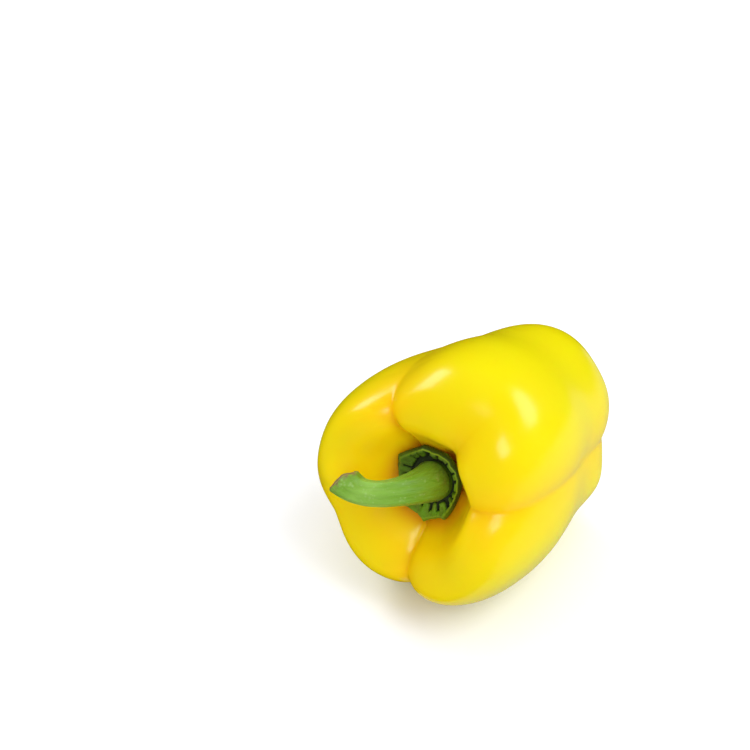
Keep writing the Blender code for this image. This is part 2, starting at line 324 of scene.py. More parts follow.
@dataclass
class ReliefTree:
    """A geometry tree that moves a mesh's points and gives it its material."""

    name: str
    sizes: dict[str, float]

    def __post_init__(self) -> None:
        """Make the tree with one named input for each size."""
        inputs = {"Geometry": SocketKind.GEOMETRY, "Material": SocketKind.MATERIAL}
        inputs.update({label: SocketKind.FLOAT for label in self.sizes})
        made = new_tree(self.name, "GeometryNodeTree", inputs, {"Geometry": SocketKind.GEOMETRY})
        self.tree, self.graph, self.given, self.result = made
        self.shape = self.given["Geometry"]

    def mark(self, name: str) -> bpy.types.NodeSocket:
        """A value that the mesh's points carry."""
        node = self.graph.add("GeometryNodeInputNamedAttribute", {"Name": name}, data_type="FLOAT")
        return node.outputs["Attribute"]

    def lay(self) -> bpy.types.NodeSocket:
        """The place on the piece's own surface that the mesh's points carry."""
        node = self.graph.add("GeometryNodeInputNamedAttribute", {"Name": "lay"}, data_type="FLOAT_VECTOR")
        return node.outputs["Attribute"]

    def keep(self, name: str, value: bpy.types.NodeSocket) -> None:
        """Store a value on the points, for the finish."""
        inputs = {"Geometry": self.shape, "Name": name, "Value": value}
        self.shape = self.graph.add("GeometryNodeStoreNamedAttribute", inputs).outputs[0]

    def close(self, height: bpy.types.NodeSocket, direction: bpy.types.NodeSocket | None = None) -> None:
        """Move the points by height along the normal or a direction, and end the tree.

        Args:
            height: How far each point moves.
            direction: Which way, or None for the surface's normal.
        """
        g = self.graph
        way = direction or g.add("GeometryNodeInputNormal").outputs[0]
        offset = g.vector_math("SCALE", {0: way, "Scale": height})
        moved = g.add("GeometryNodeSetPosition", {"Geometry": self.shape, "Offset": offset})
        real = g.add("GeometryNodeRealizeInstances", {"Geometry": moved.outputs[0]})
        painted = {"Geometry": real.outputs[0], "Material": self.given["Material"]}
        done = g.add("GeometryNodeSetMaterial", painted)
        g.tree.links.new(done.outputs[0], self.result.inputs[0])

    def apply(self, obj: bpy.types.Object, material: bpy.types.Material) -> None:
        """Run the tree on an object and keep the result as its plain mesh.

        Args:
            obj: The object whose mesh is changed.
            material: The finish that the tree sets.
        """
        modifier = obj.modifiers.new(self.name, "NODES")
        modifier.node_group = self.tree
        values = {"Material": material, **self.sizes}
        for item in self.tree.interface.items_tree:
            if item.in_out == "INPUT" and item.name in values:
                modifier[item.identifier] = values[item.name]
        plain = evaluated_mesh(obj)
        plain.name = obj.name
        obj.modifiers.clear()
        obj.data = plain


class Effects:
    """The shader groups that more than one finish uses, each built once."""

    def __init__(self) -> None:
        """Build the groups."""
        self.mottle = self.build_mottle()
        self.pores = self.build_pores()
        self.fibres = self.build_fibres()

    @staticmethod
    def build_mottle() -> bpy.types.NodeTree:
        """Soft patches of one colour in another.

        Returns:
            A group that gives the colour, and the patches as a mask.
        """
        inputs = {"Vector": SocketKind.VECTOR, "Scale": SocketKind.FLOAT, "Seed": SocketKind.FLOAT,
                  "Ground": SocketKind.COLOUR, "Patch": SocketKind.COLOUR, "Amount": SocketKind.FLOAT}
        outputs = {"Color": SocketKind.COLOUR, "Mask": SocketKind.FLOAT}
        tree, g, given, result = new_tree("mottle", "ShaderNodeTree", inputs, outputs)
        cloud = g.noise(given["Vector"], given["Scale"], 4.0, given["Seed"])
        mask = g.span(cloud, 0.35, 0.68)
        share = g.math("MULTIPLY", mask, given["Amount"])
        colour = g.blend(share, given["Ground"], given["Patch"])
        tree.links.new(colour, result.inputs["Color"])
        tree.links.new(mask, result.inputs["Mask"])
        return tree

    @staticmethod
    def build_pores() -> bpy.types.NodeTree:
        """Tiny scattered dots.

        Returns:
            A group that gives the dots as a mask and as a height.
        """
        inputs = {"Vector": SocketKind.VECTOR, "Scale": SocketKind.FLOAT, "Size": SocketKind.FLOAT}
        outputs = {"Mask": SocketKind.FLOAT, "Height": SocketKind.FLOAT}
        tree, g, given, result = new_tree("pores", "ShaderNodeTree", inputs, outputs)
        cells = g.add("ShaderNodeTexVoronoi", {"Vector": given["Vector"], "Scale": given["Scale"]})
        thinned = g.noise(given["Vector"], g.math("MULTIPLY", given["Scale"], 0.35), 1.0, 3.0)
        reach = g.math("MULTIPLY", given["Size"], g.span(thinned, 0.45, 0.7))
        mask = g.span(cells.outputs["Distance"], reach, 0.0)
        grain = g.noise(given["Vector"], g.math("MULTIPLY", given["Scale"], 1.7), 3.0, 5.0)
        tree.links.new(mask, result.inputs["Mask"])
        tree.links.new(g.math("MULTIPLY_ADD", mask, -0.5, grain), result.inputs["Height"])
        return tree

    @staticmethod
    def build_fibres() -> bpy.types.NodeTree:
        """Streaks that run along a piece's own length.

        Returns:
            A group that gives a mask of broad streaks and one of fine ones.
        """
        inputs = {"Lay": SocketKind.VECTOR, "Streaks": SocketKind.FLOAT, "Stretch": SocketKind.FLOAT}
        outputs = {"Broad": SocketKind.FLOAT, "Fine": SocketKind.FLOAT}
        tree, g, given, result = new_tree("fibres", "ShaderNodeTree", inputs, outputs)
        squash = g.add("ShaderNodeCombineXYZ", {"X": 1.0, "Y": 1.0, "Z": given["Stretch"]})
        drawn = g.vector_math("MULTIPLY", {0: given["Lay"], 1: squash.outputs[0]})
        broad = g.noise(drawn, given["Streaks"], 2.0, 1.0)
        fine = g.noise(drawn, g.math("MULTIPLY", given["Streaks"], 4.0), 3.0, 2.0)
        tree.links.new(g.span(broad, 0.35, 0.65), result.inputs["Broad"])
        tree.links.new(g.span(fine, 0.3, 0.7), result.inputs["Fine"])
        return tree


@dataclass
class Finish:
    """A Principled BSDF material under construction."""

    effects: Effects
    name: str

    def __post_init__(self) -> None:
        """Make the material and find its shader."""
        self.material = bpy.data.materials.new(self.name)
        self.material.use_nodes = True
        self.graph = Graph(self.material.node_tree)
        self.shader = self.material.node_tree.nodes["Principled BSDF"]

    def place(self) -> bpy.types.NodeSocket:
        """The piece's own coordinates."""
        return self.graph.add("ShaderNodeTexCoord").outputs["Object"]

    def mark(self, name: str) -> bpy.types.NodeSocket:
        """A value that the mesh's points carry."""
        return self.graph.add("ShaderNodeAttribute", attribute_name=name).outputs["Fac"]

    def lay(self) -> bpy.types.NodeSocket:
        """The place on the piece's own surface that the mesh's points carry."""
        return self.graph.add("ShaderNodeAttribute", attribute_name="lay").outputs["Vector"]

    def use(self, effect: bpy.types.NodeTree, inputs: dict[str, Any]) -> Any:
        """Place one shared effect.

        Args:
            effect: The group.
            inputs: Its sockets to link or values to set.

        Returns:
            The group's outputs.
        """
        node = self.graph.add("ShaderNodeGroup", node_tree=effect)
        for key, value in inputs.items():
            if isinstance(value, bpy.types.NodeSocket):
                self.graph.tree.links.new(value, node.inputs[key])
            else:
                node.inputs[key].default_value = (*value, 1.0) if isinstance(value, tuple) else value
        return node.outputs

    def feed(self, **sockets: Any) -> None:
        """Link or set the shader's sockets.

        Args:
            **sockets: Socket name, with an underscore for each space, to a socket or a value.
        """
        for key, value in sockets.items():
            target = self.shader.inputs[key.replace("_", " ")]
            if isinstance(value, bpy.types.NodeSocket):
                self.graph.tree.links.new(value, target)
            else:
                target.default_value = value

    def bump(self, height: bpy.types.NodeSocket, distance: float, strength: float = 1.0) -> None:
        """Feed the shader's normal from a height.

        Args:
            height: The height, from about 0 to 1.
            distance: What a height of 1 stands for, in metres.
            strength: Share of the effect.
        """
        inputs = {"Height": height, "Distance": distance, "Strength": strength}
        self.feed(Normal=self.graph.add("ShaderNodeBump", inputs).outputs[0])


@dataclass
class SkinFinish(Finish):
    """Waxy yellow skin: lemon on the lobes, golden towards the stem end and in soft patches, with painted
    shade in the folds, painted light in the pit, a painted shadow round the calyx's root and a soft broad
    gloss.
    """

    name: str = "waxy_yellow_skin"
    lemon: Colour = (0.71, 0.64, 0.0012)
    golden: Colour = (0.73, 0.58, 0.001)
    # painted light for the pit
    glow: Colour = (0.92, 0.63, 0.001)
    # painted shade for the creases
    crease_painted_shade: Colour = (0.9, 0.4, 0.001)
    # painted shadow round the calyx's root
    root_painted_shadow: Colour = (0.82, 0.34, 0.002)
    scar: Colour = (0.16, 0.09, 0.03)
    crease_shade_share: float = 0.5
    roughness: Range = (0.2, 0.27)

    def make(self) -> bpy.types.Material:
        """Build the nodes.

        Returns:
            The material.
        """
        g = self.graph
        place = self.place()
        # golden towards the stem end
        stem_end_toned = g.blend(self.mark("stem_end"), self.lemon, self.golden)
        patches = self.use(self.effects.mottle, {
            "Vector": place, "Scale": 28.0, "Seed": 2.0, "Ground": stem_end_toned, "Patch": self.golden,
            "Amount": 0.3})
        pores = self.use(self.effects.pores, {"Vector": place, "Scale": 900.0, "Size": 0.25})
        # painted shade: the creases turn amber by how deep they are
        fold = g.math("MULTIPLY", self.mark("crease"), self.crease_shade_share)
        crease_shaded = g.blend(fold, patches["Color"], self.crease_painted_shade)
        # painted light: the pit's skin is brighter and warmer than the lobes
        deep = g.blend(self.mark("pit"), crease_shaded, self.glow)
        # painted shadow: the skin turns orange in the narrow gap round the calyx's root
        root_shadowed = g.blend(self.mark("root"), deep, self.root_painted_shadow)
        ended = g.blend(self.mark("scar"), root_shadowed, self.scar)
        gloss = g.span(g.noise(place, 60.0, 3.0, 4.0), 0.3, 0.7, *self.roughness)
        self.feed(Base_Color=ended, Roughness=gloss, Coat_Weight=0.15, Coat_Roughness=0.12)
        self.feed(Subsurface_Weight=0.7, Subsurface_Scale=0.009, Specular_IOR_Level=0.3)
        self.feed(Subsurface_Radius=(1.0, 0.6, 0.1))
        self.bump(pores["Height"], 0.00002, 0.6)
        return self.material


@dataclass
class CalyxFinish(Finish):
    """Leathery green, with painted shade in the trough, on the outer skirt and towards one side, and a
    painted highlight along the thin rim.
    """

    name: str = "calyx_green"
    # painted shade for the trough
    trough_shade: Colour = (0.035, 0.05, 0.016)
    green: Colour = (0.145, 0.32, 0.005)
    olive: Colour = (0.145, 0.19, 0.009)
    # painted shade for the skirt and for the shaded side
    deep: Colour = (0.045, 0.085, 0.006)
    # painted highlight for the rim
    light: Colour = (0.25, 0.38, 0.012)
    shade_share: float = 0.65
    trough_shade_span: Range = (0.05, 0.6)
    roughness: Range = (0.5, 0.62)

    def make(self) -> bpy.types.Material:
        """Build the nodes.

        Returns:
            The material.
        """
        g = self.graph
        place = self.place()
        patches = self.use(self.effects.mottle, {
            "Vector": place, "Scale": 420.0, "Seed": 7.0, "Ground": self.green, "Patch": self.olive,
            "Amount": 0.75})
        pores = self.use(self.effects.pores, {"Vector": place, "Scale": 1500.0, "Size": 0.35})
        shade = g.math("MULTIPLY", self.mark("shade"), self.shade_share)
        shaded = g.blend(shade, patches["Color"], self.deep)
        # painted shade: the outer skirt darkens where the rim stands highest
        skirt_shaded = g.blend(self.mark("skirt"), shaded, self.deep)
        # painted shade: the trough between the fingers turns near black by how deep it is sunk
        hollow = g.blend(g.span(self.mark("trough"), *self.trough_shade_span), skirt_shaded, self.trough_shade)
        # painted highlight: a lighter green along the rim's crest, strongest where the rim stands highest
        rim_highlighted = g.blend(self.mark("rim"), hollow, self.light)
        self.feed(Base_Color=rim_highlighted, Roughness=g.span(patches["Mask"], 0.0, 1.0, *self.roughness))
        self.feed(Specular_IOR_Level=0.25)
        self.bump(pores["Height"], 0.00025, 0.8)
        return self.material


@dataclass
class StemFinish(Finish):
    """Fresh green stalk: olive at its root, pale streaks along its ribs, a corky cut end."""

    name: str = "stem_green"
    olive: Colour = (0.1, 0.14, 0.004)
    green: Colour = (0.13, 0.3, 0.006)
    pale: Colour = (0.25, 0.47, 0.06)
    rust: Colour = (0.32, 0.16, 0.02)
    milky: Colour = (0.45, 0.62, 0.25)
    cork: Colour = (0.2, 0.13, 0.06)
    cut_green: Colour = (0.24, 0.27, 0.08)
    pith: Colour = (0.42, 0.39, 0.2)
    green_span: Range = (0.0, 0.45)
    pale_start: Range = (0.3, 0.62)
    pale_end: Range = (0.65, 0.88)
    pale_left: float = 0.25
    vein_share: float = 0.45
    streak_share: float = 0.25
    speck_share: float = 0.28
    rust_span: Range = (0.0, 0.3)
    worn_span: Range = (0.9, 1.0)
    worn_cloud: Range = (0.4, 0.62)
    ragged_edge: float = 0.3
    cork_ring: Range = (0.1, 0.32)
    pith_edge: Range = (0.42, 0.7)
    scratch_share: float = 0.35
    roughness: Range = (0.36, 0.5)

    def make(self) -> bpy.types.Material:
        """Build the nodes.

        Returns:
            The material.
        """
        g = self.graph
        place = self.place()
        run = self.mark("run")
        streaks = self.use(self.effects.fibres, {"Lay": self.lay(), "Streaks": 2.2, "Stretch": 0.35})
        pores = self.use(self.effects.pores, {"Vector": place, "Scale": 1300.0, "Size": 0.3})
        body = g.blend(g.span(run, *self.green_span), self.olive, self.green)
        begun = g.span(run, *self.pale_start)
        middle = g.math("MULTIPLY", begun, g.span(run, *self.pale_end, 1.0, self.pale_left))
        # paler from about a third of the way along, fading towards the cut
        paler_middle = g.blend(middle, body, self.pale)
        veined = g.blend(g.math("MULTIPLY", streaks["Broad"], self.vein_share), paler_middle, self.green)
        fine = g.blend(g.math("MULTIPLY", streaks["Fine"], self.streak_share), veined, self.pale)
        specks = self.use(self.effects.pores, {"Vector": place, "Scale": 900.0, "Size": 0.75})
        aged = g.blend(g.span(run, *self.rust_span), self.rust, self.milky)
        specked = g.blend(g.math("MULTIPLY", specks["Mask"], self.speck_share), fine, aged)
        cloud = g.noise(place, 500.0, 3.0, 6.0)
        worn = g.math("MULTIPLY", g.span(run, *self.worn_span), g.span(cloud, *self.worn_cloud))
        dried = g.blend(worn, specked, self.cork)
        heart = self.mark("heart")
        ragged = g.math("MULTIPLY_ADD", g.math("SUBTRACT", cloud, 0.5), self.ragged_edge, heart)
        flesh = g.blend(g.span(ragged, *self.cork_ring), self.cork, self.cut_green)
        core = g.blend(g.span(ragged, *self.pith_edge), flesh, self.pith)
        scratched = g.blend(g.math("MULTIPLY", streaks["Fine"], self.scratch_share), core, self.cork)
        ringed = g.blend(self.mark("face"), dried, scratched)
        self.feed(Base_Color=ringed, Roughness=g.span(streaks["Fine"], 0.0, 1.0, *self.roughness))
        self.feed(Subsurface_Weight=0.15, Subsurface_Scale=0.002, Subsurface_Radius=(0.5, 1.0, 0.2))
        height = g.math("MULTIPLY_ADD", streaks["Fine"], 0.6, g.math("MULTIPLY", pores["Height"], 0.5))
        self.bump(height, 0.0002, 0.8)
        return self.material


@dataclass
class GrownPiece:
    """A piece that starts as a sphere and is carried to its place by a formula."""

    name: str
    node: str
    segments: int
    rings: int

    def places(self, angle: np.ndarray, along: np.ndarray) -> np.ndarray:
        """Where the sphere's points go, in millimetres."""
        raise NotImplementedError

    def marks(self, angle: np.ndarray, along: np.ndarray) -> dict[str, np.ndarray]:
        """Values that the points carry for the relief and the finish."""
        raise NotImplementedError

    def relief(self) -> ReliefTree:
        """The geometry tree that adds the fine form."""
        raise NotImplementedError

    def finish(self, effects: Effects) -> bpy.types.Material:
        """The piece's material."""
        raise NotImplementedError

    def make(self, effects: Effects) -> bpy.types.Object:
        """Shape the piece, add its relief and its finish.

        Args:
            effects: The shared shader groups.

        Returns:
            The piece in the pepper's upright frame, in metres.
        """
        mesh = plain_sphere(self.segments, self.rings)
        mesh.name = self.name
        points = np.empty(len(mesh.vertices) * 3, np.float32)
        mesh.vertices.foreach_get("co", points)
        points = points.reshape(-1, 3).astype(float)
        angle = np.degrees(np.arctan2(points[:, 1], points[:, 0]))
        along = np.degrees(np.arccos(np.clip(points[:, 2], -1, 1))) / 180
        mesh.vertices.foreach_set("co", (self.places(angle, along) * MM).ravel())
        mesh.shade_smooth()
        for label, values in self.marks(angle, along).items():
            kind, part = ("FLOAT", "value") if values.ndim == 1 else ("FLOAT_VECTOR", "vector")
            mesh.attributes.new(label, kind, "POINT").data.foreach_set(part, values.ravel())
        obj = bpy.data.objects.new(self.name, mesh)
        bpy.context.scene.collection.objects.link(obj)
        self.relief().apply(obj, self.finish(effects))
        return obj

    def settle(self, obj: bpy.types.Object, lay: Matrix) -> None:
        """Lay the piece down in its mesh, in place of its CAD node.

        Args:
            obj: The piece.
            lay: From the pepper's upright frame to the model's frame.
        """
        obj.data.transform(lay)
        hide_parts(self.node)
        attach(obj, "root")
        log.info("%s: %d faces", obj.name, len(obj.data.polygons))


@dataclass
class Fruit(GrownPiece):
    """The fruit: a half outline swept round the axis, with sizes that change from lobe to lobe."""

    name: str = "pepper_skin"
    node: str = "fruit"
    segments: int = 420
    rings: int = 220
    pit_height: float = 29.0
    pit_radius: float = 12.5
    foot_height: float = -41.0
    foot_radius: float = 6.0
    lobe_focus: float = 8.0
    fold_rounding: float = 1.5
    twist_start: float = 0.3
    twist_length: float = 0.6
    crisp_places: Range = (0.3, 0.5)
    turn_out: Range = (0.2, 0.5)
    turn_under: Range = (0.78, 0.98)
    fade: float = 1 / 12
    pit_reach: float = 0.34
    pit_steps: int = 60
    crease_full: float = 8.0
    pit_light_fade: Range = (0.2, 0.34)
    root_shadow_fade: Range = (0.13, 0.2)
    stem_end_fade: Range = (0.34, 0.52)
    scar_edge: Range = (0.975, 0.99)
    pole_margin: float = 1e-6
    fit_step: float = 2.0
    fit_rows: int = 160
    lobes: tuple[Lobe, ...] = (
        Lobe(35, 22.5, 44, 43, 32, -52),
        Lobe(92, 24, 39.5, 44.5, 34.5, -54),
        Lobe(140, 29, 43.5, 42, 31.5, -47.5),
        Lobe(180, 29, 42.5, 44, 27, -46),
        Lobe(238, 29, 39.5, 43, 25, -45),
        Lobe(298, 28, 44, 44.5, 25.5, -46),
        Lobe(338, 24.5, 48, 40.5, 29.5, -43),
    )
    grooves: tuple[Groove, ...] = (
        Groove(124, -8, (2.0, 9.5, 7.5, 3.0, 2.4, 4.5), 22, 5, (0.75, 0.05)),
        Groove(7.5, 6, (2.5, 8.0, 6.5, 4.8, 4.2, 6.0), 22, 6, (0.6, 0.3)),
        Groove(-88, 2, (3.0, 8.0, 6.5, 4.4, 3.2, 4.5), 18, 5, (0.6, 0.5)),
        Groove(61, 0, (6.0, 7.0, 0.8, 0.0, 0.0, 0.0), 13, 8, (0.5, 0.0)),
        Groove(212, 0, (0.0, 1.0, 3.4, 2.2, 0.5, 0.0), 18, 16),
        Groove(-54, 0, (0.5, 1.0, 0.5, 0.0, 0.0, 1.0), 16, 14),
    )
    bumps: tuple[Bump, ...] = (
        Bump(-16, 0.8, 3.2, 19, 0.08),
        Bump(184, 0.27, 5.5, 15, 0.075),
    )

    def lobe_sizes(self, angle: np.ndarray) -> np.ndarray:
        """Blend the sizes of the lobes near each angle.

        Args:
            angle: Degrees round the fruit.

        Returns:
            Crown, shoulder, reach, foot and depth, one a row.
        """
        turns = [np.cos(np.radians(angle - lobe.angle)) - 1 for lobe in self.lobes]
        pull = np.exp(self.lobe_focus * np.array(turns))
        sizes = np.array([(b.crown, b.shoulder, b.reach, b.foot, b.depth) for b in self.lobes])
        return sizes.T @ (pull / pull.sum(axis=0))

    def outline(self, angle: np.ndarray) -> tuple[np.ndarray, np.ndarray]:
        """The half outline at each angle, from the pit to the foot.

        Args:
            angle: Degrees round the fruit.

        Returns:
            The control points' radii and heights, one a row.
        """
        crown, shoulder, reach, foot, depth = self.lobe_sizes(angle)
        one = np.ones_like(angle)
        pit, base = self.pit_radius, self.pit_height
        wall, climb = crown - pit, shoulder - base
        points = (
            (-0.55 * pit * one, base * one),
            (0 * one, base * one),
            (0.55 * pit * one, base * one),
            (pit * one, base * one),
            (pit + 0.36 * wall, base + 0.45 * climb),
            (pit + 0.62 * wall, shoulder - 0.5),
            (crown + 2.0, shoulder + 2.0),
            (0.45 * crown + 0.55 * reach + 1.0, shoulder - 1.5),
            (reach - 1.0, shoulder - 13.0),
            (reach + 0.8, 14 * one),
            (reach - 0.2, -3 * one),
            (0.35 * foot + 0.65 * reach, -19 * one),
            (foot + 6.5, 0.6 * depth - 6),
            (foot + 1.5, depth + 1.0),
            (foot - 9.0, depth - 1.0),
            (self.foot_radius * one, (self.foot_height - 1.0) * one),
            (0 * one, self.foot_height * one),
            (-self.foot_radius * one, (self.foot_height - 1.0) * one),
        )
        return np.array([p[0] for p in points]), np.array([p[1] for p in points])

    def groove_depth(self, angle: np.ndarray, along: np.ndarray) -> np.ndarray:
        """How deep the creases and valleys press in.

        Args:
            angle: Degrees round the fruit.
            along: Place on the half outline, from 0 in the pit to 1 at the foot.

        Returns:
            The depth at each place.
        """
        depth = np.zeros_like(angle)
        for groove in self.grooves:
            turned = np.clip((along - self.twist_start) / self.twist_length, 0, 1)
            centre = groove.angle + groove.twist * turned
            off = turn_between(angle, centre)
            fold = np.exp((self.fold_rounding - np.hypot(off, self.fold_rounding)) / groove.narrow)
            strength, _ = spline((0, 0, *groove.depths, 0, 0), along)
            crisp = np.interp(along, self.crisp_places, groove.crisp)
            depth += strength * ((1 - crisp) * hill(off, 0, groove.wide) + crisp * fold)
        return depth

    def surface(self, angle: np.ndarray, along: np.ndarray) -> tuple[np.ndarray, np.ndarray]:
        """The skin, with its creases and bumps.

        Args:
            angle: Degrees round the fruit.
            along: Place on the half outline, from 0 in the pit to 1 at the foot.

        Returns:
            The radius and the height at each place.
        """
        radii, heights = self.outline(angle)
        radius, _ = spline(radii, along)
        height, _ = spline(heights, along)
        fade = smooth(np.minimum(along, 1 - along), 0, self.fade)
        swell = np.zeros_like(angle)
        for bump in self.bumps:
            around = hill(turn_between(angle, bump.angle), 0, bump.width)
            swell += bump.height * around * hill(along, bump.place, bump.length)
        press = (self.groove_depth(angle, along) - swell) * fade
        way = np.pi / 2 * (smooth(along, *self.turn_out) + smooth(along, *self.turn_under))
        return radius - press * np.sin(way), height - press * np.cos(way)

    def floor(self, radius: np.ndarray, angle: np.ndarray) -> np.ndarray:
        """The pit's skin, as it would be without the creases.

        Args:
            radius: Distance of each place from the axis.
            angle: Degrees round the fruit.

        Returns:
            The skin's height under each place.
        """
        steps = np.linspace(0.0, self.pit_reach, self.pit_steps)
        radii, heights = self.outline(angle)
        reached = np.array([spline(radii, np.full_like(angle, step))[0] for step in steps])
        climbed = np.array([spline(heights, np.full_like(angle, step))[0] for step in steps])
        return np.array([np.interp(r, reached[:, k], climbed[:, k]) for k, r in enumerate(radius)])

    def places(self, angle: np.ndarray, along: np.ndarray) -> np.ndarray:
        """The skin's points.

        Args:
            angle: Degrees round the sphere that the piece starts as.
            along: Place on it, from 0 at its top to 1 at its bottom.

        Returns:
            Their places, in millimetres.
        """
        radius, height = self.surface(angle, along)
        pole = (along < self.pole_margin) | (along > 1 - self.pole_margin)
        return round_the_axis(np.where(pole, 0, radius), height, angle)

    def marks(self, angle: np.ndarray, along: np.ndarray) -> dict[str, np.ndarray]:
        """Where the folds, the golden stem end and the scar at the blossom end lie, and where the painted
        light in the pit and the painted shadow round the calyx's root go.

        Args:
            angle: Degrees round the sphere that the piece starts as.
            along: Place on it, from 0 at its top to 1 at its bottom.

        Returns:
            Each mark's name and its values.
        """
        return {
            # how deep the folds are, which the finish turns into painted shade
            "crease": np.clip(self.groove_depth(angle, along) / self.crease_full, 0, 1),
            # painted light in the pit
            "pit": 1 - smooth(along, *self.pit_light_fade),
            # painted shadow round the calyx's root
            "root": 1 - smooth(along, *self.root_shadow_fade),
            "stem_end": 1 - smooth(along, *self.stem_end_fade),
            "scar": smooth(along, *self.scar_edge),
        }

    def relief(self) -> ReliefTree:
        """Shallow dents all over the skin, and a faint unevenness.

        Returns:
            The tree.
        """
        sizes = {"Dent Height": 0.00035, "Dent Scale": 38.0, "Ripple Height": 0.00005,
                 "Ripple Scale": 170.0, "Seed": 4.0}
        tree = ReliefTree("skin_relief", sizes)
        g, given = tree.graph, tree.given
        where = g.add("GeometryNodeInputPosition").outputs[0]
        dents = g.math("SUBTRACT", g.noise(where, given["Dent Scale"], 1.0, given["Seed"]), 0.5)
        ripple = g.math("SUBTRACT", g.noise(where, given["Ripple Scale"], 1.0, given["Seed"]), 0.5)
        low = g.math("MULTIPLY", dents, given["Dent Height"])
        tree.close(g.math("MULTIPLY_ADD", ripple, given["Ripple Height"], low))
        return tree

    def finish(self, effects: Effects) -> bpy.types.Material:
        """Waxy yellow."""
        return SkinFinish(effects=effects).make()

    def set_down(self, tilt: float) -> Matrix:
        """The lying pose: from the upright frame, in metres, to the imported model's frame.

        Args:
            tilt: Degrees that the stem end looks up from the level.

        Returns:
            The matrix that lays the pepper where its CAD fruit lies.
        """
        around = np.arange(0, 360, self.fit_step)
        angle, along = np.meshgrid(around, np.linspace(0, 1, self.fit_rows))
        points = self.places(angle.ravel(), along.ravel()) * MM
        turn = Matrix.Rotation(math.radians(90 - tilt), 4, "X")
        points = points @ np.array(turn.to_3x3()).T
        low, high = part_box(self.node)
        middle = (points.min(axis=0) + points.max(axis=0)) / 2
        shift = Vector(((low.x + high.x) / 2 - middle[0], (low.y + high.y) / 2 - middle[1], 0))
        shift.z = high.z - points[:, 2].max()
        return Matrix.Translation(shift) @ turn

    def rest(self, obj: bpy.types.Object) -> None:
        """Raise what lies below the floor onto it, as the real skin gives under the weight.

        Args:
            obj: The skin, laid down.
        """
        count = len(obj.data.vertices)
        points = np.empty(count * 3, np.float32)
        obj.data.vertices.foreach_get("co", points)
        points[2::3] = np.maximum(points[2::3], 0)
        obj.data.vertices.foreach_set("co", points)
        obj.data.update()


